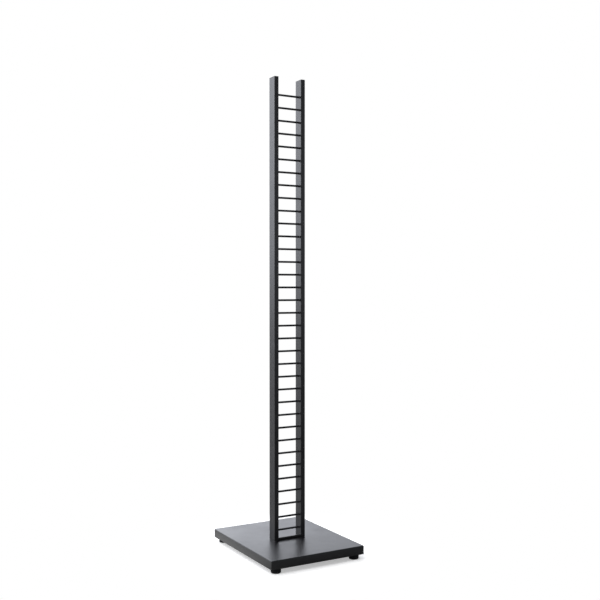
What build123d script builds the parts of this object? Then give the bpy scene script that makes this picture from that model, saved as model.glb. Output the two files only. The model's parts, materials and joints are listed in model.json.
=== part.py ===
from build123d import *
import os

os.makedirs("parts", exist_ok=True)

# Ladder display stand: a free-standing ladder of round rungs on a sheet-steel base tray.
# Frame: millimetres, origin on the floor under the middle of the tray, +Z up,
# X along the rungs, -Y towards the front, where the rungs and the foot bar sit.

# ---- base tray ----
base_width = 400.0  # along X
base_depth = 500.0  # along Y
base_height = 33.0  # from the skirt's lower edge to the top face
tray_sheet = 2.0  # sheet thickness
tray_bend_radius = 3.0  # outside radius of the folds and corners

# ---- ladder ----
ladder_forward = 5.0  # from the tray's middle to the uprights' middle, towards the front
ladder_width = 136.0  # over the outer faces of the uprights
tube_width = 18.0  # upright section along X
tube_depth = 45.0  # upright section along Y
tube_wall = 1.5
tube_corner_radius = 2.0  # outside
rung_diameter = 8.0
rung_pitch = 50.0
rung_count = 35
rung_setback = 15.0  # from the uprights' front faces to the rungs' axes
bottom_rung_height = 37.0  # lowest rung's axis above the tray's top face
top_margin = 68.0  # from the highest rung's axis to the top of the end plugs
foot_bar_height = 10.0
foot_bar_depth = 10.0

# ---- end plugs in the tops of the uprights ----
plug_head = 2.5  # thickness of the head over the tube's end
plug_length = 14.0  # of the part inside the tube
plug_wall = 1.5

# ---- fixing of the ladder to the tray ----
block_height = 20.0  # tapped block welded in the foot of each upright
bolt_diameter = 6.0
bolt_length = 20.0  # under the head
bolt_head_flats = 10.0
bolt_head_height = 4.0
bolt_spacing = 24.0  # between the two bolts of one upright, along Y
washer_diameter = 12.0
washer_thickness = 1.6
plate_thickness = 5.0  # stiffening plate under the tray's top
plate_margin_x = 20.0  # beyond the uprights' outer faces
plate_margin_y = 30.0  # beyond the uprights' front and back faces

# ---- levelling feet ----
foot_inset_x = 31.0  # from the tray's side faces to the foot's axis
foot_inset_y = 25.0  # from the tray's front and back faces to the foot's axis
foot_stand_off = 19.0  # skirt's lower edge above the floor, foot screwed right in
foot_travel = 8.0  # how far a foot screws out
pad_diameter = 38.0
pad_height = 23.0
pad_edge_radius = 4.0  # at the floor
pad_shoulder_radius = 2.0  # at the top
stud_diameter = 10.0
stud_spigot_diameter = 8.0
stud_spigot_length = 10.0
collar_flats = 14.0
collar_height = 6.0
bracket_thickness = 4.0
bracket_margin = 24.0  # beyond the foot's axis, towards the tray's middle
bracket_corner_cut = 20.0
nut_flats = 17.0
nut_height = 8.0
stud_top_gap = 2.0  # between the stud's end and the tray's top sheet

# ---- clearances ----
running_clearance = 0.05  # radial, between parts that turn or slide in each other
rung_hole_clearance = 0.1  # radial, rung in the upright's inner wall
bolt_hole_clearance = 0.3  # radial, bolt in plate and tray
washer_hole_clearance = 0.2  # radial, bolt in washer
stud_hole_clearance = 0.5  # radial, stud in its bracket
plug_clearance = 0.2  # between plug and tube, each side
corner_clearance = 0.5  # how much more an inside corner is rounded than its seat

# ---- derived sizes ----
tray_bottom = foot_stand_off
tray_top = tray_bottom + base_height
tray_ceiling = tray_top - tray_sheet
tube_inner_width = tube_width - 2 * tube_wall
tube_inner_depth = tube_depth - 2 * tube_wall
tube_inner_radius = max(tube_corner_radius - tube_wall, 0.2)
upright_height = bottom_rung_height + (rung_count - 1) * rung_pitch + top_margin
upright_top = tray_top + upright_height
tube_top = upright_top - plug_head
upright_x = ladder_width / 2 - tube_width / 2
ladder_gap = ladder_width - 2 * tube_width
ladder_y = -ladder_forward
ladder_front = ladder_y - tube_depth / 2
rung_y = ladder_front + rung_setback
rung_length = ladder_gap + 2 * (tube_width - tube_wall)
bracket_underside = pad_height + collar_height
bracket_top = bracket_underside + bracket_thickness
foot_x = base_width / 2 - foot_inset_x
foot_y = base_depth / 2 - foot_inset_y
stud_top = tray_ceiling - stud_top_gap
bolt_seat = tray_ceiling - plate_thickness - washer_thickness


def rounded_bar(size_x, size_y, radius, z_low, z_high):
    """An upright bar of rounded-rectangle section, centred on the Z axis."""
    section = RectangleRounded(size_x, size_y, radius)
    return Pos(0, 0, z_low) * extrude(section, z_high - z_low)


def upright_cylinder(x, y, diameter, z_low, z_high):
    """A cylinder along Z between two heights."""
    middle = (z_low + z_high) / 2
    return Pos(x, y, middle) * Cylinder(diameter / 2, z_high - z_low)


def hexagon_bar(x, y, flats, z_low, z_high):
    """A hexagonal bar along Z, with two of its flats facing +X and -X."""
    section = RegularPolygon(flats / 2, 6, major_radius=False, rotation=30)
    return Pos(x, y, z_low) * extrude(section, z_high - z_low)


def block(x_low, x_high, y_low, y_high, z_low, z_high):
    """A plain box between its limits."""
    middle = Pos((x_low + x_high) / 2, (y_low + y_high) / 2, (z_low + z_high) / 2)
    return middle * Box(x_high - x_low, y_high - y_low, z_high - z_low)


def bolt_places():
    """The four ladder bolts' axes, two in each upright."""
    return [
        (side * upright_x, ladder_y + row * bolt_spacing / 2)
        for side in (-1, 1)
        for row in (-1, 1)
    ]


def rounded_tray_block(size_x, size_y, z_low, z_high, radius):
    """A block whose upright edges and top edges are rounded."""
    body = block(-size_x / 2, size_x / 2, -size_y / 2, size_y / 2, z_low, z_high)
    upright_edges = body.edges().filter_by(Axis.Z)
    top_edges = body.faces().sort_by(Axis.Z)[-1].edges()
    return fillet(upright_edges + top_edges, radius)


def make_base_tray():
    inner_radius = max(tray_bend_radius - tray_sheet, 0.2)
    outside = rounded_tray_block(
        base_width, base_depth, tray_bottom, tray_top, tray_bend_radius
    )
    hollow = rounded_tray_block(
        base_width - 2 * tray_sheet,
        base_depth - 2 * tray_sheet,
        tray_bottom - 10,
        tray_ceiling,
        inner_radius,
    )
    tray = outside - hollow
    hole = bolt_diameter + 2 * bolt_hole_clearance
    for x, y in bolt_places():
        tray -= upright_cylinder(x, y, hole, tray_ceiling - 1, tray_top + 1)
    return tray


def make_ladder_plate():
    half_x = ladder_width / 2 + plate_margin_x
    half_y = tube_depth / 2 + plate_margin_y
    low = tray_ceiling - plate_thickness
    plate = block(
        -half_x, half_x, ladder_y - half_y, ladder_y + half_y, low, tray_ceiling
    )
    hole = bolt_diameter + 2 * bolt_hole_clearance
    for x, y in bolt_places():
        plate -= upright_cylinder(x, y, hole, low - 1, tray_ceiling + 1)
    return plate


def make_upright(side):
    outside = rounded_bar(tube_width, tube_depth, tube_corner_radius, tray_top, tube_top)
    hollow = rounded_bar(
        tube_inner_width,
        tube_inner_depth,
        tube_inner_radius,
        tray_top - 1,
        tube_top + 1,
    )
    tube = Pos(side * upright_x, ladder_y, 0) * (outside - hollow)
    inner_face = side * ladder_gap / 2
    wall_middle = inner_face + side * tube_wall / 2
    hole_radius = rung_diameter / 2 + rung_hole_clearance
    holes = [
        Pos(wall_middle, rung_y, rung_height(index))
        * Rot(0, 90, 0)
        * Cylinder(hole_radius, tube_wall + 2)
        for index in range(rung_count)
    ]
    return tube - holes


def rung_height(index):
    """Height of a rung's axis above the floor; index 0 is the highest rung."""
    steps_up = rung_count - 1 - index
    return tray_top + bottom_rung_height + steps_up * rung_pitch


def make_rung(index):
    rod = Rot(0, 90, 0) * Cylinder(rung_diameter / 2, rung_length)
    return Pos(0, rung_y, rung_height(index)) * rod


def make_foot_bar():
    half = ladder_gap / 2
    return block(
        -half,
        half,
        ladder_front,
        ladder_front + foot_bar_depth,
        tray_top,
        tray_top + foot_bar_height,
    )


def make_foot_block(side):
    body = rounded_bar(
        tube_inner_width,
        tube_inner_depth,
        tube_inner_radius + corner_clearance,
        tray_top,
        tray_top + block_height,
    )
    body = Pos(side * upright_x, ladder_y, 0) * body
    hole = bolt_diameter + 2 * running_clearance
    top = tray_top + block_height + 1
    for x, y in bolt_places():
        if x * side > 0:
            body -= upright_cylinder(x, y, hole, tray_top - 1, top)
    return body


def make_top_plug(side):
    head = rounded_bar(tube_width, tube_depth, tube_corner_radius, tube_top, upright_top)
    outer_x = tube_inner_width - 2 * plug_clearance
    outer_y = tube_inner_depth - 2 * plug_clearance
    radius = tube_inner_radius + corner_clearance
    insert = rounded_bar(outer_x, outer_y, radius, tube_top - plug_length, tube_top)
    hollow = block(
        -outer_x / 2 + plug_wall,
        outer_x / 2 - plug_wall,
        -outer_y / 2 + plug_wall,
        outer_y / 2 - plug_wall,
        tube_top - plug_length - 1,
        tube_top,
    )
    return Pos(side * upright_x, ladder_y, 0) * (head + insert - hollow)


def make_ladder_bolts():
    bolts = []
    for x, y in bolt_places():
        shank = upright_cylinder(x, y, bolt_diameter, bolt_seat - 0.5, bolt_seat + bolt_length)
        head = hexagon_bar(x, y, bolt_head_flats, bolt_seat - bolt_head_height, bolt_seat)
        bolts.append(head + shank)
    return bolts


def make_ladder_washers():
    hole = bolt_diameter + 2 * washer_hole_clearance
    high = bolt_seat + washer_thickness
    return [
        upright_cylinder(x, y, washer_diameter, bolt_seat, high)
        - upright_cylinder(x, y, hole, bolt_seat - 1, high + 1)
        for x, y in bolt_places()
    ]


def upright_edges_outwards(plate):
    """A corner plate's upright edges, from the tray's middle to its corner."""
    edges = plate.edges().filter_by(Axis.Z)
    return edges.sort_by(lambda edge: edge.center().X + edge.center().Y)


def make_foot_bracket(side_x, side_y):
    """A flat plate across one corner of the tray, welded to both skirts."""
    outer_x = base_width / 2 - tray_sheet
    outer_y = base_depth / 2 - tray_sheet
    inner_x = foot_x - bracket_margin
    inner_y = foot_y - bracket_margin
    plate = block(inner_x, outer_x, inner_y, outer_y, bracket_underside, bracket_top)
    plate = chamfer(upright_edges_outwards(plate)[0], bracket_corner_cut)
    plate = chamfer(upright_edges_outwards(plate)[-1], tray_bend_radius)
    hole = stud_diameter + 2 * stud_hole_clearance
    plate -= upright_cylinder(foot_x, foot_y, hole, bracket_underside - 1, bracket_top + 1)
    if side_x < 0:
        plate = mirror(plate, Plane.YZ)
    if side_y < 0:
        plate = mirror(plate, Plane.XZ)
    return plate


def foot_places():
    """Each corner's name and the signs of its X and Y; front is -Y."""
    return [("fl", -1, -1), ("fr", 1, -1), ("bl", -1, 1), ("br", 1, 1)]


def make_foot_nuts():
    nuts = []
    for name, side_x, side_y in foot_places():
        x = side_x * foot_x
        y = side_y * foot_y
        high = bracket_top + nut_height
        nut = hexagon_bar(x, y, nut_flats, bracket_top, high)
        nut -= upright_cylinder(x, y, stud_diameter, bracket_top - 1, high + 1)
        nuts.append(nut)
    return nuts


def make_foot_stud(side_x, side_y):
    x = side_x * foot_x
    y = side_y * foot_y
    shaft = stud_diameter - 2 * running_clearance
    collar = hexagon_bar(x, y, collar_flats, pad_height, bracket_underside)
    thread = upright_cylinder(x, y, shaft, bracket_underside - 0.5, stud_top)
    spigot_low = pad_height - stud_spigot_length
    spigot = upright_cylinder(x, y, stud_spigot_diameter, spigot_low, pad_height + 0.5)
    return collar + thread + spigot


def make_foot_pad(side_x, side_y):
    x = side_x * foot_x
    y = side_y * foot_y
    pad = upright_cylinder(x, y, pad_diameter, 0, pad_height)
    pad = fillet(pad.edges().sort_by(Axis.Z)[0], pad_edge_radius)
    rims = pad.edges().filter_by(GeomType.CIRCLE).sort_by(Axis.Z)
    pad = fillet(rims[-1], pad_shoulder_radius)
    bore = stud_spigot_diameter + 2 * running_clearance
    bore_low = pad_height - stud_spigot_length - 1
    return pad - upright_cylinder(x, y, bore, bore_low, pad_height + 1)


def save(shape, name):
    """Writes one node; a list is a group of separate solids."""
    if isinstance(shape, list):
        solids = [solid for item in shape for solid in item.solids()]
        shape = Compound(children=solids)
    export_step(shape, f"parts/{name}.step")


save(make_base_tray(), "base_tray")
save(make_ladder_plate(), "ladder_plate")
save(make_foot_bar(), "foot_bar")
save(make_ladder_bolts(), "ladder_bolts")
save(make_ladder_washers(), "ladder_washers")
save(make_foot_nuts(), "foot_nuts")
for side_name, side_sign in (("left", -1), ("right", 1)):
    save(make_upright(side_sign), f"upright_{side_name}")
    save(make_foot_block(side_sign), f"foot_block_{side_name}")
    save(make_top_plug(side_sign), f"top_plug_{side_name}")
for corner, sign_x, sign_y in foot_places():
    save(make_foot_bracket(sign_x, sign_y), f"foot_bracket_{corner}")
    save(make_foot_stud(sign_x, sign_y), f"foot_stud_{corner}")
    save(make_foot_pad(sign_x, sign_y), f"foot_pad_{corner}")
for rung_index in range(rung_count):
    save(make_rung(rung_index), f"rung_{rung_index + 1:02d}")
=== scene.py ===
import json
import math

import bmesh
import bpy
from mathutils import Matrix, Vector


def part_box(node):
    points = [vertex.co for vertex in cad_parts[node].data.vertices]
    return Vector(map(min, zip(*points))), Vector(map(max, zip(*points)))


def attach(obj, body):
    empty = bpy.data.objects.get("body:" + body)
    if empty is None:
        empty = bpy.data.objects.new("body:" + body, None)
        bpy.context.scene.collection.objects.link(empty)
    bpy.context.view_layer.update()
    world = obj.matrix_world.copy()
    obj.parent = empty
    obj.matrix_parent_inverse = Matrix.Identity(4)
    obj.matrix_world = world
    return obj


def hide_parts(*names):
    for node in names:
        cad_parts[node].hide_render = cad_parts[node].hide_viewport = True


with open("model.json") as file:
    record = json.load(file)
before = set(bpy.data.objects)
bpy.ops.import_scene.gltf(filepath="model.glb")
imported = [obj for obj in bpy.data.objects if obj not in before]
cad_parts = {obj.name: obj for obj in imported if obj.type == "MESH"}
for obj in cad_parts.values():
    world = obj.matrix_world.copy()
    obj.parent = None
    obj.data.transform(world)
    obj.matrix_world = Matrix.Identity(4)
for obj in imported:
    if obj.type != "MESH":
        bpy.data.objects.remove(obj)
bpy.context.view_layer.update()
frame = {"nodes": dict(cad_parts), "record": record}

nodes = frame["nodes"]

MM = 0.001
FULL_TURN = math.tau
UP = Vector((0.0, 0.0, 1.0))
ALONG_RUNG = Vector((1.0, 0.0, 0.0))
SHARP_ANGLE = math.radians(35.0)
SAME_HEIGHT = 0.02 * MM
MERGE_DISTANCE = 0.002 * MM
CORNERS = ("fl", "fr", "bl", "br")
SIDES = ("left", "right")
RUNGS = sorted(name for name in nodes if name.startswith("rung_"))


# ------------------------------------------------------------------ finishes

def add_node(tree, kind, place, **values):
    """Adds a shader node, sets its plain properties and its unlinked inputs."""
    node = tree.nodes.new(kind)
    node.location = place
    for name, value in values.items():
        if name in node.inputs:
            node.inputs[name].default_value = value
        else:
            setattr(node, name, value)
    return node


def new_group(name, inputs, outputs):
    """An empty node group with float inputs, given with their defaults, and float outputs."""
    group = bpy.data.node_groups.new(name, "ShaderNodeTree")
    for title, value in inputs.items():
        socket = group.interface.new_socket(title, in_out="INPUT", socket_type="NodeSocketFloat")
        socket.default_value = value
    for title in outputs:
        group.interface.new_socket(title, in_out="OUTPUT", socket_type="NodeSocketFloat")
    source = add_node(group, "NodeGroupInput", (-900, 0))
    result = add_node(group, "NodeGroupOutput", (700, 0))
    return group, source, result


def sized_noise(tree, source, size_socket, vector, height, **values):
    """Noise whose lumps are as large, in metres, as the group's input says."""
    scale = add_node(tree, "ShaderNodeMath", (-650, height), operation="DIVIDE")
    scale.inputs[0].default_value = 1.0
    tree.links.new(source.outputs[size_socket], scale.inputs[1])
    noise = add_node(tree, "ShaderNodeTexNoise", (-450, height), **values)
    tree.links.new(vector, noise.inputs["Vector"])
    tree.links.new(scale.outputs[0], noise.inputs["Scale"])
    return noise


def ramp(tree, value, place, low, high, to_low=0.0, to_high=1.0, shape="LINEAR"):
    """Maps a value from the range low..high to the range to_low..to_high, clamped."""
    node = add_node(tree, "ShaderNodeMapRange", place, interpolation_type=shape)
    node.inputs["From Min"].default_value = low
    node.inputs["From Max"].default_value = high
    node.inputs["To Min"].default_value = to_low
    node.inputs["To Max"].default_value = to_high
    tree.links.new(value, node.inputs["Value"])
    return node.outputs["Result"]


def math_node(tree, operation, place, first, second):
    """A two-input Math node; each input is a socket or a number."""
    node = add_node(tree, "ShaderNodeMath", place, operation=operation)
    for index, value in enumerate((first, second)):
        if isinstance(value, (int, float)):
            node.inputs[index].default_value = value
        else:
            tree.links.new(value, node.inputs[index])
    return node.outputs[0]


def make_skin_group():
    """Peel and grain of a moulded or sprayed skin, and its slow unevenness."""
    group, source, result = new_group(
        "skin_grain",
        {"Peel Size": 0.0016, "Grain Size": 0.0004, "Patch Size": 0.08, "Grain Share": 0.35},
        ("Height", "Patches"),
    )
    place = add_node(group, "ShaderNodeTexCoord", (-900, 300)).outputs["Object"]
    peel = sized_noise(group, source, "Peel Size", place, 300, Detail=1.0, Roughness=0.4)
    grain = sized_noise(group, source, "Grain Size", place, 0, Detail=2.0, Roughness=0.5)
    patches = sized_noise(group, source, "Patch Size", place, -300, Detail=4.0, Roughness=0.55)
    mixed = add_node(group, "ShaderNodeMix", (0, 200), data_type="FLOAT")
    group.links.new(source.outputs["Grain Share"], mixed.inputs["Factor"])
    group.links.new(peel.outputs["Fac"], mixed.inputs["A"])
    group.links.new(grain.outputs["Fac"], mixed.inputs["B"])
    group.links.new(mixed.outputs["Result"], result.inputs["Height"])
    spread = ramp(group, patches.outputs["Fac"], (0, -250), 0.3, 0.7)
    group.links.new(spread, result.inputs["Patches"])
    return group


def make_scuff_group():
    """Faint rub marks: long thin streaks in patches, as a mask."""
    group, source, result = new_group(
        "rub_marks", {"Streak Width": 0.0005, "Patch Size": 0.05}, ("Marks",)
    )
    place = add_node(group, "ShaderNodeTexCoord", (-1300, 200)).outputs["Object"]
    directions = (((0.3, 0.1, 0.5), (0.04, 1.0, 1.0)), ((0.0, 0.4, 1.9), (1.0, 0.06, 1.0)))
    masks = []
    for row, (slant, squeeze) in enumerate(directions):
        height = 300 - 300 * row
        stretch = add_node(group, "ShaderNodeMapping", (-1100, height))
        stretch.inputs["Rotation"].default_value = slant
        stretch.inputs["Scale"].default_value = squeeze
        group.links.new(place, stretch.inputs["Vector"])
        along = stretch.outputs["Vector"]
        streaks = sized_noise(
            group, source, "Streak Width", along, height, Detail=1.0, Roughness=0.5
        )
        masks.append(ramp(group, streaks.outputs["Fac"], (-200, height), 0.66, 0.74))
    patches = sized_noise(group, source, "Patch Size", place, -400, Detail=2.0, Roughness=0.5)
    where = ramp(group, patches.outputs["Fac"], (-200, -400), 0.50, 0.68)
    either = math_node(group, "MAXIMUM", (100, 200), masks[0], masks[1])
    group.links.new(math_node(group, "MULTIPLY", (350, 100), either, where), result.inputs["Marks"])
    return group


SKIN = make_skin_group()
SCUFFS = make_scuff_group()


def mix_colour(tree, place, factor, first, second):
    """Mixes two colours, each a socket or a tuple, by a socket."""
    mix = add_node(tree, "ShaderNodeMix", place, data_type="RGBA")
    tree.links.new(factor, mix.inputs["Factor"])
    ends = [socket for socket in mix.inputs if socket.type == "RGBA"]
    for socket, value in zip(ends, (first, second)):
        if isinstance(value, tuple):
            socket.default_value = (*value, 1.0)
        else:
            tree.links.new(value, socket)
    return next(socket for socket in mix.outputs if socket.type == "RGBA")


def finish(name, tones, gloss, peel, relief, scuff, metallic=0.0, specular=0.5):
    """A skin between two tones and two roughnesses, with relief and rub marks.

    peel holds the sizes of peel, grain and patches; scuff the marks' tone and roughness.
    """
    material = bpy.data.materials.new(name)
    material.use_nodes = True
    tree = material.node_tree
    shader = tree.nodes["Principled BSDF"]
    shader.inputs["Metallic"].default_value = metallic
    shader.inputs["Specular IOR Level"].default_value = specular
    skin = add_node(tree, "ShaderNodeGroup", (-1000, 200), node_tree=SKIN)
    for socket, value in zip(("Peel Size", "Grain Size", "Patch Size"), peel):
        skin.inputs[socket].default_value = value
    marks = add_node(tree, "ShaderNodeGroup", (-1000, -200), node_tree=SCUFFS)
    mottled = mix_colour(tree, (-700, 300), skin.outputs["Patches"], tones[0], tones[1])
    rubbed = mix_colour(tree, (-450, 300), marks.outputs["Marks"], mottled, scuff[0])
    tree.links.new(rubbed, shader.inputs["Base Color"])
    even = ramp(tree, skin.outputs["Patches"], (-700, 0), 0.0, 1.0, gloss[0], gloss[1])
    change = ramp(tree, marks.outputs["Marks"], (-700, -300), 0.0, 1.0, 0.0, scuff[1])
    rough = math_node(tree, "ADD", (-450, -50), even, change)
    tree.links.new(rough, shader.inputs["Roughness"])
    bump = add_node(tree, "ShaderNodeBump", (-450, -350), Strength=1.0, Distance=relief)
    tree.links.new(skin.outputs["Height"], bump.inputs["Height"])
    tree.links.new(bump.outputs["Normal"], shader.inputs["Normal"])
    return material


FINISHES = {
    "powder_coat": finish(
        "satin_black_powder_coat",
        tones=((0.0045, 0.0045, 0.0050), (0.0070, 0.0070, 0.0078)),
        gloss=(0.31, 0.37),
        peel=(0.0016, 0.0004, 0.09),
        relief=0.000012,
        scuff=((0.012, 0.012, 0.0125), 0.05),
    ),
    "plug_plastic": finish(
        "moulded_plug_polyethylene",
        tones=((0.0090, 0.0090, 0.0095), (0.0130, 0.0130, 0.0140)),
        gloss=(0.44, 0.52),
        peel=(0.0008, 0.0003, 0.02),
        relief=0.00002,
        scuff=((0.020, 0.020, 0.021), 0.06),
    ),
    "foot_plastic": finish(
        "moulded_foot_nylon",
        tones=((0.0045, 0.0045, 0.0048), (0.0070, 0.0070, 0.0075)),
        gloss=(0.62, 0.72),
        peel=(0.0010, 0.0003, 0.02),
        relief=0.00003,
        scuff=((0.012, 0.012, 0.012), 0.08),
        specular=0.25,
    ),
    "zinc_steel": finish(
        "bright_zinc_plate",
        tones=((0.50, 0.52, 0.57), (0.64, 0.64, 0.62)),
        gloss=(0.22, 0.36),
        peel=(0.0020, 0.0003, 0.006),
        relief=0.00001,
        scuff=((0.42, 0.42, 0.42), 0.12),
        metallic=1.0,
    ),
    "bare_steel": finish(
        "bare_mild_steel",
        tones=((0.28, 0.28, 0.29), (0.40, 0.39, 0.38)),
        gloss=(0.32, 0.48),
        peel=(0.0015, 0.0003, 0.02),
        relief=0.00001,
        scuff=((0.50, 0.50, 0.50), -0.08),
        metallic=1.0,
    ),
}
for part in frame["record"]["subparts"]:
    shape = nodes[part["node"]]
    shape.data.materials.clear()
    shape.data.materials.append(FINISHES[part["material_slot"]])


# ------------------------------------------------------------- shaping tools

def middle_and_size(node):
    """The middle and the size of a CAD node's box."""
    low, high = (Vector(corner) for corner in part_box(node))
    return (low + high) / 2, high - low


def add_block(bm, middle, size):
    """Adds a box and returns its vertices."""
    placed = Matrix.Translation(middle) @ Matrix.Diagonal((*size, 1.0))
    return bmesh.ops.create_cube(bm, size=1.0, matrix=placed)["verts"]


def round_edges(bm, edges, radius, segments):
    """Rounds edges to a true radius."""
    bmesh.ops.bevel(
        bm,
        geom=edges,
        offset=radius,
        offset_type="OFFSET",
        segments=segments,
        profile=0.5,
        affect="EDGES",
        clamp_overlap=True,
        material=-1,
    )


def edges_along(bm, direction):
    """The straight edges that run along a direction."""
    return [
        edge
        for edge in bm.edges
        if abs((edge.verts[1].co - edge.verts[0].co).normalized().dot(direction)) > 0.999
    ]


def edges_at_height(bm, height):
    """The folded edges that lie in one level plane."""
    least_angle = math.radians(30.0)
    return [
        edge
        for edge in bm.edges
        if all(abs(vert.co.z - height) < SAME_HEIGHT for vert in edge.verts)
        and edge.calc_face_angle(0.0) > least_angle
    ]


def arc(radius_at, height_at, radius, start, end, steps):
    """Points of an outline's round stretch, from one angle to another in degrees."""
    angles = [math.radians(start + (end - start) * step / steps) for step in range(steps + 1)]
    return [
        (radius_at + radius * math.cos(angle), height_at + radius * math.sin(angle))
        for angle in angles
    ]


def turn(bm, outline, foot, axis, steps, closed=False):
    """Spins an outline of (radius, distance along the axis) points into a body of revolution."""
    side = axis.orthogonal().normalized()
    points = [bm.verts.new(foot + side * radius + axis * along) for radius, along in outline]
    pairs = list(zip(points, points[1:]))
    if closed:
        pairs.append((points[-1], points[0]))
    lines = [bm.edges.new(pair) for pair in pairs]
    bmesh.ops.spin(
        bm,
        geom=points + lines,
        cent=foot,
        axis=axis,
        angle=FULL_TURN,
        steps=steps,
        use_merge=True,
    )


def take_in(bm, other):
    """Adds another bmesh's shape and frees it."""
    carrier = bpy.data.meshes.new("carrier")
    other.to_mesh(carrier)
    other.free()
    bm.from_mesh(carrier)
    bpy.data.meshes.remove(carrier)


def add_hexagon(bm, foot, flats, low, high, bore):
    """A hexagon as it is machined: a chamfered round blank with six flats cut on it."""
    corner = flats / 2 / math.cos(math.radians(30))
    face = flats / 2 * 0.95
    chamfer = (corner - face) * math.tan(math.radians(30))
    blank = bmesh.new()
    outline = [(face, low), (corner, low + chamfer), (corner, high - chamfer), (face, high)]
    if bore:
        outline = [(bore, low)] + outline + [(bore, high)]
        turn(blank, outline, foot, UP, 48, closed=True)
    else:
        turn(blank, [(0.0, low)] + outline + [(0.0, high)], foot, UP, 48)
    bmesh.ops.remove_doubles(blank, verts=blank.verts, dist=MERGE_DISTANCE)
    for flat in range(6):
        outwards = Matrix.Rotation(math.radians(60 * flat), 3, "Z") @ ALONG_RUNG
        cut = bmesh.ops.bisect_plane(
            blank,
            geom=blank.verts[:] + blank.edges[:] + blank.faces[:],
            dist=MERGE_DISTANCE,
            plane_co=foot + outwards * flats / 2,
            plane_no=outwards,
            clear_outer=True,
        )
        rim = [item for item in cut["geom_cut"] if isinstance(item, bmesh.types.BMEdge)]
        bmesh.ops.edgeloop_fill(blank, edges=rim)
    take_in(bm, blank)


def add_thread(bm, foot, core, crest, pitch, low, high):
    """A right-hand V thread, as a ridge carried up a helix."""
    steps_a_turn = 24
    steps = round((high - low - pitch) / pitch * steps_a_turn)
    outline = ((core, 0.0), (crest, 0.42 * pitch), (crest, 0.54 * pitch), (core, 0.96 * pitch))
    ridge = bmesh.new()
    points = [
        ridge.verts.new(foot + ALONG_RUNG * radius + UP * (low + along))
        for radius, along in outline
    ]
    start = ridge.faces.new(points)
    bmesh.ops.spin(
        ridge,
        geom=[start] + start.edges[:] + start.verts[:],
        cent=foot,
        axis=UP,
        dvec=UP * pitch / steps_a_turn,
        angle=FULL_TURN * steps / steps_a_turn,
        steps=steps,
        use_merge=False,
    )
    open_edges = [edge for edge in ridge.edges if edge.is_boundary]
    if open_edges:
        bmesh.ops.holes_fill(ridge, edges=open_edges, sides=0)
    bmesh.ops.recalc_face_normals(ridge, faces=ridge.faces)
    take_in(bm, ridge)


def add_weld(bm, start, end, radius=1.3 * MM):
    """A straight weld bead: overlapping ripples, tapered at both ends."""
    ripple = 1.1 * MM
    tip = 0.45
    valley = 0.86
    run = end - start
    along = run.normalized()
    ripples = max(3, round(run.length / ripple))
    turned = Matrix.Translation(start) @ along.to_track_quat("Z", "Y").to_matrix().to_4x4()
    bead = bmesh.new()
    ring = bmesh.ops.create_circle(
        bead, cap_ends=True, radius=radius * tip, segments=12, matrix=turned
    )["verts"]
    width = tip
    for step in range(1, 2 * ripples + 1):
        rim = {edge for vert in ring for edge in vert.link_edges if edge.other_vert(vert) in ring}
        grown = bmesh.ops.extrude_edge_only(bead, edges=list(rim))["geom"]
        ring = [item for item in grown if isinstance(item, bmesh.types.BMVert)]
        bmesh.ops.translate(bead, verts=ring, vec=run / (2 * ripples))
        swell = 1.0 if step % 2 else valley
        if step == 2 * ripples:
            swell = tip
        middle = start + run * step / (2 * ripples)
        growth = Matrix.Scale(swell / width, 4)
        bmesh.ops.transform(
            bead, matrix=growth, space=Matrix.Translation(-middle), verts=ring
        )
        width = swell
    bmesh.ops.contextual_create(bead, geom=[e for e in bead.edges if e.is_boundary])
    bmesh.ops.recalc_face_normals(bead, faces=bead.faces)
    take_in(bm, bead)


def new_piece(bm, name, body, slot, *replaced):
    """Turns a bmesh into a finished piece that rides on a body."""
    bmesh.ops.remove_doubles(bm, verts=bm.verts, dist=MERGE_DISTANCE)
    bmesh.ops.recalc_face_normals(bm, faces=bm.faces)
    mesh = bpy.data.meshes.new(name)
    bm.to_mesh(mesh)
    bm.free()
    for polygon in mesh.polygons:
        polygon.use_smooth = True
    mesh.set_sharp_from_angle(angle=SHARP_ANGLE)
    mesh.materials.append(FINISHES[slot])
    piece = bpy.data.objects.new(name, mesh)
    bpy.context.scene.collection.objects.link(piece)
    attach(piece, body)
    if replaced:
        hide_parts(*replaced)
    return piece


# -------------------------------------------------------------- base and ladder

TRAY_SHEET = 2.0 * MM
TRAY_BEND = 3.0 * MM
TUBE_CORNER = 2.0 * MM

tray_low, tray_high = (Vector(corner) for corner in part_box("base_tray"))
tray_middle, tray_size = middle_and_size("base_tray")
tray_ceiling = tray_high.z - TRAY_SHEET


def bolt_axes():
    """The four ladder bolts' axes, from the middles of their washers."""
    washers, span = middle_and_size("ladder_washers")
    washer = 12.0 * MM
    reach_x = (span.x - washer) / 2
    reach_y = (span.y - washer) / 2
    return [
        Vector((washers.x + side * reach_x, washers.y + row * reach_y, 0.0))
        for side in (-1, 1)
        for row in (-1, 1)
    ]


def cut_round_holes(piece, axes, radius, low, high):
    """Cuts holes along Z through a piece, and keeps it a plain mesh."""
    bm = bmesh.new()
    for axis in axes:
        bmesh.ops.create_cone(
            bm,
            cap_ends=True,
            segments=32,
            radius1=radius,
            radius2=radius,
            depth=high - low,
            matrix=Matrix.Translation(axis + UP * (low + high) / 2),
        )
    drill_mesh = bpy.data.meshes.new("drill")
    bm.to_mesh(drill_mesh)
    bm.free()
    drill = bpy.data.objects.new("drill", drill_mesh)
    bpy.context.scene.collection.objects.link(drill)
    cut = piece.modifiers.new("holes", "BOOLEAN")
    cut.operation = "DIFFERENCE"
    cut.solver = "EXACT"
    cut.object = drill
    graph = bpy.context.evaluated_depsgraph_get()
    drilled = bpy.data.meshes.new_from_object(piece.evaluated_get(graph))
    piece.modifiers.remove(cut)
    piece.data = drilled
    bpy.data.objects.remove(drill)
    bpy.data.meshes.remove(drill_mesh)


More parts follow.
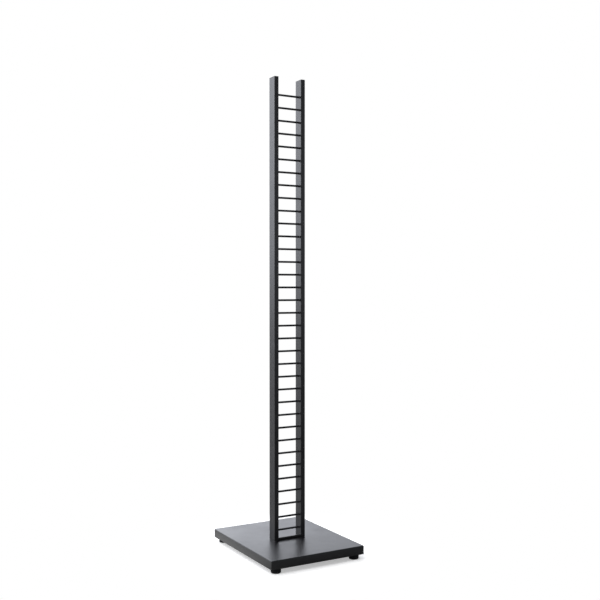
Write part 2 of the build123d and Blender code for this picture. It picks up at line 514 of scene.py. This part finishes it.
def make_tray():
    """One sheet, folded down on four sides, corners closed, edges broken."""
    bm = bmesh.new()
    add_block(bm, tray_middle, tray_size)
    underneath = [face for face in bm.faces if face.normal.z < -0.5]
    bmesh.ops.delete(bm, geom=underneath, context="FACES_ONLY")
    folds = [edge for edge in bm.edges if not edge.is_boundary]
    round_edges(bm, folds, TRAY_BEND, 8)
    bmesh.ops.solidify(bm, geom=bm.faces[:], thickness=TRAY_SHEET)
    round_edges(bm, edges_at_height(bm, tray_low.z), 0.4 * MM, 2)
    tray = new_piece(bm, "folded_tray", "stand", "powder_coat", "base_tray")
    cut_round_holes(tray, bolt_axes(), 3.3 * MM, tray_ceiling - MM, tray_high.z + MM)
    return tray


def make_rung(node):
    """A drawn rod with a small weld fillet where it meets each upright."""
    middle, size = middle_and_size(node)
    radius = size.z / 2
    half = size.x / 2
    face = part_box("upright_right")[0][0]
    leg = 1.6 * MM
    overlap = 0.2 * MM
    chamfer = 0.3 * MM
    right = [
        (radius + leg - along, face - leg + rise)
        for along, rise in arc(0.0, 0.0, leg, 0, 90, 6)
    ]
    right += [(radius, face + overlap), (radius, half - chamfer), (radius - chamfer, half)]
    outline = [(0.0, -half)]
    outline += [(reach, -along) for reach, along in reversed(right)]
    outline += right
    outline.append((0.0, half))
    bm = bmesh.new()
    turn(bm, outline, middle, ALONG_RUNG, 32)
    return new_piece(bm, f"{node}_rod", "stand", "powder_coat", node)


def make_foot_bar():
    """A square bar with broken edges, welded to both uprights."""
    middle, size = middle_and_size("foot_bar")
    corner = 0.8 * MM
    throat = 1.0 * MM
    bm = bmesh.new()
    add_block(bm, middle, size)
    round_edges(bm, edges_along(bm, ALONG_RUNG), corner, 4)
    new_piece(bm, "foot_bar_solid", "stand", "powder_coat", "foot_bar")
    low = middle - size / 2
    high = middle + size / 2
    welds = bmesh.new()
    for end in (low.x, high.x):
        top_front = Vector((end, low.y + corner, high.z))
        top_back = Vector((end, high.y, high.z))
        foot_back = Vector((end, high.y, low.z + corner))
        add_weld(welds, top_front, top_back, throat)
        add_weld(welds, top_back, foot_back, throat)
    return new_piece(welds, "foot_bar_welds", "stand", "powder_coat")


def make_top_plug(side):
    """A moulded plug: a softened head, and a hollow insert with grip ribs."""
    name = f"top_plug_{side}"
    low, high = (Vector(corner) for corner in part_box(name))
    tube_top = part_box(f"upright_{side}")[1][2]
    middle = (low + high) / 2
    head_edge = 0.9 * MM
    two_walls = 3.4 * MM
    insert_corner = 1.0 * MM
    insert_wall = 1.5 * MM
    rib_heights = (3.0 * MM, 6.5 * MM, 10.0 * MM)
    rib_depth = 1.0 * MM
    rib_thickness = 0.8 * MM
    rib_sunk = 0.4 * MM
    bm = bmesh.new()
    head = Vector((high.x - low.x, high.y - low.y, high.z - tube_top))
    add_block(bm, Vector((middle.x, middle.y, (tube_top + high.z) / 2)), head)
    round_edges(bm, edges_along(bm, UP), TUBE_CORNER, 6)
    round_edges(bm, edges_at_height(bm, high.z), head_edge, 4)
    insert = bmesh.new()
    slim = Vector((head.x - two_walls, head.y - two_walls, tube_top - low.z))
    add_block(insert, Vector((middle.x, middle.y, (low.z + tube_top) / 2)), slim)
    mouth = [face for face in insert.faces if face.normal.z < -0.5]
    bmesh.ops.delete(insert, geom=mouth, context="FACES_ONLY")
    round_edges(insert, edges_along(insert, UP), insert_corner, 4)
    bmesh.ops.solidify(insert, geom=insert.faces[:], thickness=insert_wall)
    take_in(bm, insert)
    rib = Vector((slim.x - 2 * insert_corner, rib_depth, rib_thickness))
    for height in rib_heights:
        for reach in (-1, 1):
            out = middle.y + reach * (slim.y / 2 - rib_sunk)
            add_block(bm, Vector((middle.x, out, low.z + height)), rib)
    return new_piece(bm, f"{name}_moulding", "stand", "plug_plastic", name)


# ------------------------------------------------------------ fixings below

def make_ladder_bolts():
    """Four hexagon bolts with chamfered heads, a washer face and a pointed end."""
    low, high = (Vector(corner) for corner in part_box("ladder_bolts"))
    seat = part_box("ladder_washers")[0][2]
    across_flats = 10.0 * MM
    washer_face = 4.6 * MM
    shank = 3.0 * MM
    point = 0.6 * MM
    bolts = bmesh.new()
    for axis in bolt_axes():
        add_hexagon(bolts, axis, across_flats, low.z, seat - 0.2 * MM, 0.0)
        outline = [
            (0.0, seat - MM),
            (washer_face, seat - MM),
            (washer_face, seat),
            (shank, seat),
            (shank, high.z - point),
            (shank - point, high.z),
            (0.0, high.z),
        ]
        turn(bolts, outline, axis, UP, 32)
    return new_piece(bolts, "ladder_bolt_set", "stand", "zinc_steel", "ladder_bolts")


def make_ladder_washers():
    """Four punched washers with one rounded face."""
    low, high = (Vector(corner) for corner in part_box("ladder_washers"))
    bore = 3.2 * MM
    rim = 6.0 * MM
    edge = 0.35 * MM
    outline = [(bore, low.z + edge), (bore, high.z), (rim, high.z)]
    outline += arc(rim - edge, low.z + edge, edge, 0, -90, 3)
    outline.append((bore + edge, low.z))
    washers = bmesh.new()
    for axis in bolt_axes():
        turn(washers, outline, axis, UP, 40, closed=True)
    return new_piece(washers, "ladder_washer_set", "stand", "zinc_steel", "ladder_washers")


def foot_axis(corner):
    """The upright axis of one levelling foot, at floor height."""
    middle = middle_and_size(f"foot_pad_{corner}")[0]
    return Vector((middle.x, middle.y, 0.0))


def make_foot_nuts():
    """Four M10 nuts with chamfered corners."""
    low, high = (Vector(corner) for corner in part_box("foot_nuts"))
    across_flats = 17.0 * MM
    bore = 5.0 * MM
    nuts = bmesh.new()
    for corner in CORNERS:
        add_hexagon(nuts, foot_axis(corner), across_flats, low.z, high.z, bore)
    return new_piece(nuts, "foot_nut_set", "stand", "zinc_steel", "foot_nuts")


def make_inner_welds():
    """Beads that hold the corner brackets and the stiffening plate in the tray."""
    bead = 12 * MM
    half_bead = 6 * MM
    plate_bead = 20 * MM
    half_plate_bead = 10 * MM
    welds = bmesh.new()
    for corner in CORNERS:
        low, high = (Vector(point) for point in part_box(f"foot_bracket_{corner}"))
        middle = (low + high) / 2
        out_x = high.x if middle.x > 0 else low.x
        out_y = high.y if middle.y > 0 else low.y
        for step in (-1, 1):
            at = middle.y + step * 12 * MM
            start = Vector((out_x, at - half_bead, low.z))
            add_weld(welds, start, start + Vector((0.0, bead, 0.0)))
            at = middle.x + step * 13 * MM
            start = Vector((at - half_bead, out_y, low.z))
            add_weld(welds, start, start + Vector((bead, 0.0, 0.0)))
    low, high = (Vector(point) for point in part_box("ladder_plate"))
    for row in (low.y, high.y):
        for step in (-1, 0, 1):
            start = Vector((step * 60 * MM - half_plate_bead, row, high.z))
            add_weld(welds, start, start + Vector((plate_bead, 0.0, 0.0)))
    return new_piece(welds, "inner_welds", "stand", "powder_coat")


# ------------------------------------------------------------ levelling feet

def make_foot_pad(corner):
    """A moulded foot: rounded tread edge, parting line, bossed top and a bore."""
    name = f"foot_pad_{corner}"
    low, high = (Vector(point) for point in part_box(name))
    radius = (high.x - low.x) / 2
    bore = 4.05 * MM
    bore_foot = high.z - 11.0 * MM
    tread = 4.0 * MM
    shoulder = 2.0 * MM
    groove = 0.4 * MM
    parting = 15.0 * MM
    dish = 1.2 * MM
    boss_ring = ((4.5, 0.0), (4.1, 0.5), (3.0, 0.5), (2.6, 0.0))  # out from the bore, down
    outline = [(0.0, dish), (10.0 * MM, dish), (11.2 * MM, 0.0)]
    outline += arc(radius - tread, tread, tread, -90, 0, 8)
    outline += [
        (radius, parting - groove),
        (radius - groove, parting - groove / 2),
        (radius - groove, parting + groove / 2),
        (radius, parting + groove),
    ]
    outline += arc(radius - shoulder, high.z - shoulder, shoulder, 0, 90, 5)
    outline += [(bore + out * MM, high.z - down * MM) for out, down in boss_ring]
    outline += [(bore, high.z), (bore, bore_foot), (0.0, bore_foot)]
    bm = bmesh.new()
    turn(bm, outline, foot_axis(corner), UP, 72)
    return new_piece(bm, f"{name}_moulding", f"pad_{corner}", "foot_plastic", name)


def make_foot_stud(corner):
    """A screw with a hexagon collar, a rolled thread and a plain spigot."""
    name = f"foot_stud_{corner}"
    low, high = (Vector(point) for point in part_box(name))
    axis = foot_axis(corner)
    collar_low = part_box(f"foot_pad_{corner}")[1][2]
    collar_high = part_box(f"foot_bracket_{corner}")[0][2]
    crest = 4.95 * MM
    core = 4.10 * MM
    pitch = 1.5 * MM
    spigot = 4.0 * MM
    spigot_edge = 0.5 * MM
    point = 0.8 * MM
    bm = bmesh.new()
    add_hexagon(bm, axis, 14.0 * MM, collar_low, collar_high, 0.0)
    outline = [(0.0, low.z), (spigot - spigot_edge, low.z), (spigot, low.z + spigot_edge)]
    outline += [(spigot, collar_low + MM), (0.0, collar_low + MM)]
    turn(bm, outline, axis, UP, 32)
    outline = [(0.0, collar_high - MM), (core, collar_high - MM), (core, high.z - point)]
    outline += [(core - point, high.z), (0.0, high.z)]
    turn(bm, outline, axis, UP, 32)
    add_thread(bm, axis, core - 0.1 * MM, crest, pitch, collar_high + 0.2 * MM, high.z - 0.4 * MM)
    return new_piece(bm, f"{name}_screw", f"stud_{corner}", "zinc_steel", name)


make_tray()
for rung in RUNGS:
    make_rung(rung)
make_foot_bar()
for upright_side in SIDES:
    make_top_plug(upright_side)
make_ladder_bolts()
make_ladder_washers()
make_foot_nuts()
make_inner_welds()
for foot_corner in CORNERS:
    make_foot_pad(foot_corner)
    make_foot_stud(foot_corner)


# ------------------------------------------------------- floor, light, camera

def link_shader(tree, source, target, index=0):
    """Joins a shader's output to one of another shader's inputs."""
    tree.links.new(source.outputs[0], target.inputs[index])


# The paper's own glow, and the distances from the stand over which it turns plain white.
PAPER_GLOW = 0.42
PLAIN_FROM = (0.42, 0.60)
# In reflections the paper carries painted shade: its colour goes from dark to light over this
# stretch, towards the back left, and a painted pool of light glows on it along the base's left
# side.
LIGHTER_TOWARDS = (-0.49, 0.87, 0.0)
LIGHTER_OVER = (-1.5, 1.5)
# painted shade: the paper's dark and light tones in reflections
PAINTED_PAPER_SHADE = ((0.08, 0.08, 0.08), (0.57, 0.57, 0.57))
POOL_MIDDLE = (-0.32, 0.14, 0.0)
POOL_EDGES = (0.15, 0.50)
PAINTED_POOL_GLOW = 0.6


def floor_finish():
    """White paper where it is seen directly, with a light contact shadow near the stand.

    In reflections its colour is painted shade, bright behind the stand on the left and dark in
    front on the right, as paper lit from the back would look, and a painted pool of light glows on
    it along the base's left side.
    """
    material = bpy.data.materials.new("white_paper")
    material.use_nodes = True
    tree = material.node_tree
    tree.nodes.clear()
    place = add_node(tree, "ShaderNodeTexCoord", (-900, 200)).outputs["Object"]

    paper = add_node(tree, "ShaderNodeBsdfDiffuse", (-200, -100))
    paper.inputs["Color"].default_value = (0.90, 0.90, 0.90, 1.0)
    glow = add_node(tree, "ShaderNodeEmission", (-200, -300), Strength=PAPER_GLOW)
    near = add_node(tree, "ShaderNodeAddShader", (50, -200))
    link_shader(tree, paper, near, 0)
    link_shader(tree, glow, near, 1)
    plain = add_node(tree, "ShaderNodeEmission", (50, -400), Strength=1.0)
    reach = add_node(tree, "ShaderNodeVectorMath", (-700, -500), operation="LENGTH")
    tree.links.new(place, reach.inputs[0])
    away = ramp(tree, reach.outputs["Value"], (-500, -500), *PLAIN_FROM, shape="SMOOTHSTEP")
    seen = add_node(tree, "ShaderNodeMixShader", (250, -250))
    tree.links.new(away, seen.inputs["Fac"])
    link_shader(tree, near, seen, 1)
    link_shader(tree, plain, seen, 2)

    behind = add_node(tree, "ShaderNodeVectorMath", (-700, 200), operation="DOT_PRODUCT")
    behind.inputs[1].default_value = LIGHTER_TOWARDS
    tree.links.new(place, behind.inputs[0])
    # painted shade: the paper's colour in reflections runs from dark at the front right to light at
    # the back left
    share = ramp(tree, behind.outputs["Value"], (-500, 200), *LIGHTER_OVER)
    reflected = add_node(tree, "ShaderNodeBsdfDiffuse", (-50, 150))
    tree.links.new(mix_colour(tree, (-300, 200), share, *PAINTED_PAPER_SHADE), reflected.inputs["Color"])
    nearness = add_node(tree, "ShaderNodeVectorMath", (-700, 450), operation="DISTANCE")
    nearness.inputs[1].default_value = POOL_MIDDLE
    tree.links.new(place, nearness.inputs[0])
    # painted light: the paper glows in a pool along the base's left side, where there is no lamp
    shine = ramp(
        tree, nearness.outputs["Value"], (-500, 450), *POOL_EDGES, PAINTED_POOL_GLOW, 0.0, "SMOOTHSTEP"
    )
    pool = add_node(tree, "ShaderNodeEmission", (-50, 400))
    tree.links.new(shine, pool.inputs["Strength"])
    both = add_node(tree, "ShaderNodeAddShader", (200, 200))
    link_shader(tree, reflected, both, 0)
    link_shader(tree, pool, both, 1)

    path = add_node(tree, "ShaderNodeLightPath", (250, 400))
    kind = add_node(tree, "ShaderNodeMixShader", (450, 0))
    tree.links.new(path.outputs["Is Camera Ray"], kind.inputs["Fac"])
    link_shader(tree, both, kind, 1)
    link_shader(tree, seen, kind, 2)
    link_shader(tree, kind, add_node(tree, "ShaderNodeOutputMaterial", (650, 0)))
    return material


def make_floor():
    """A wide level sheet of paper."""
    mesh = bpy.data.meshes.new("floor")
    bm = bmesh.new()
    bmesh.ops.create_grid(bm, x_segments=1, y_segments=1, size=60.0)
    bm.to_mesh(mesh)
    bm.free()
    floor = bpy.data.objects.new("floor", mesh)
    floor.data.materials.append(floor_finish())
    bpy.context.scene.collection.objects.link(floor)


# Lights that show in glossy surfaces. A flatness above 1 makes a light wider than high.
LIGHT_COLOUR = (0.95, 0.98, 1.06)
AMBIENT = 0.08
LIGHTS = (
    # middle, flatness, outer and inner half angle in degrees, strength
    ((-0.49, 0.87, 0.12), 5.0, 52, 24, 1.70),  # long low wall, back left
    ((0.05, 1.00, 0.42), 1.5, 50, 10, 2.1),  # large screen at the back
    ((-0.1, 0.2, 1.0), 1.0, 60, 15, 0.6),  # ceiling
    ((0.49, -0.87, 0.03), 5.0, 42, 12, 1.15),  # low strip, front right
    ((-0.70, -0.70, 0.40), 1.0, 50, 20, 0.9),  # fill, front left
    ((0.98, -0.10, 0.15), 1.5, 42, 15, 0.9),  # fill, right
)
# One overhead light from the left that matt surfaces receive, and that casts the shadow.
OVERHEAD_MIDDLE = (-0.65, 0.25, 1.0)
OVERHEAD_ANGLES = (66, 22)
OVERHEAD_LIGHT = 2.6


def make_studio():
    """Soft light from all round, on a plain white backdrop."""
    world = bpy.data.worlds.new("soft_studio")
    bpy.context.scene.world = world
    world.use_nodes = True
    tree = world.node_tree
    tree.nodes.clear()
    way = add_node(tree, "ShaderNodeTexCoord", (-1600, 0)).outputs["Generated"]

    def soft_light(middle, flatness, outer, inner, strength, height):
        """Light from a cone of directions that is full inside and fades to its edge."""
        stretch = Vector((1.0, 1.0, flatness))
        squeezed = add_node(tree, "ShaderNodeVectorMath", (-1400, height), operation="MULTIPLY")
        squeezed.inputs[1].default_value = stretch
        tree.links.new(way, squeezed.inputs[0])
        unit = add_node(tree, "ShaderNodeVectorMath", (-1200, height), operation="NORMALIZE")
        tree.links.new(squeezed.outputs[0], unit.inputs[0])
        dot = add_node(tree, "ShaderNodeVectorMath", (-1000, height), operation="DOT_PRODUCT")
        dot.inputs[1].default_value = (Vector(middle) * stretch).normalized()
        tree.links.new(unit.outputs[0], dot.inputs[0])
        edges = [math.cos(math.radians(angle)) for angle in (outer, inner)]
        return ramp(
            tree, dot.outputs["Value"], (-800, height), *edges, 0.0, strength, "SMOOTHSTEP"
        )

    total = AMBIENT
    for row, light in enumerate(LIGHTS):
        shine = soft_light(*light, 300 * row)
        total = math_node(tree, "ADD", (-400, 300 * row), shine, total)
    lit = add_node(tree, "ShaderNodeBackground", (100, 0))
    lit.inputs["Color"].default_value = (*LIGHT_COLOUR, 1.0)
    tree.links.new(total, lit.inputs["Strength"])
    soft = add_node(tree, "ShaderNodeBackground", (100, -400))
    from_above = soft_light(OVERHEAD_MIDDLE, 1.0, *OVERHEAD_ANGLES, OVERHEAD_LIGHT, -300)
    tree.links.new(from_above, soft.inputs["Strength"])
    backdrop = add_node(tree, "ShaderNodeBackground", (100, -200))
    backdrop.inputs["Color"].default_value = (1.0, 1.0, 1.0, 1.0)

    path = add_node(tree, "ShaderNodeLightPath", (100, 300))
    matt_or_gloss = add_node(tree, "ShaderNodeMixShader", (350, -200))
    tree.links.new(path.outputs["Is Diffuse Ray"], matt_or_gloss.inputs["Fac"])
    link_shader(tree, lit, matt_or_gloss, 1)
    link_shader(tree, soft, matt_or_gloss, 2)
    kind = add_node(tree, "ShaderNodeMixShader", (550, 0))
    tree.links.new(path.outputs["Is Camera Ray"], kind.inputs["Fac"])
    link_shader(tree, matt_or_gloss, kind, 1)
    link_shader(tree, backdrop, kind, 2)
    link_shader(tree, kind, add_node(tree, "ShaderNodeOutputWorld", (750, 0)))


def make_camera():
    """At a standing person's chest, from the stand's front left."""
    data = bpy.data.cameras.new("camera")
    data.sensor_width = 36.0
    data.lens = 53.03
    data.clip_end = 200.0
    camera = bpy.data.objects.new("camera", data)
    camera.location = (-1.6821, -3.0529, 1.0362)
    camera.rotation_euler = (math.radians(90.0 - 0.77), 0.0, math.radians(-29.72))
    bpy.context.scene.collection.objects.link(camera)
    bpy.context.scene.camera = camera


make_floor()
make_studio()
make_camera()
bpy.context.scene.view_settings.view_transform = "Standard"
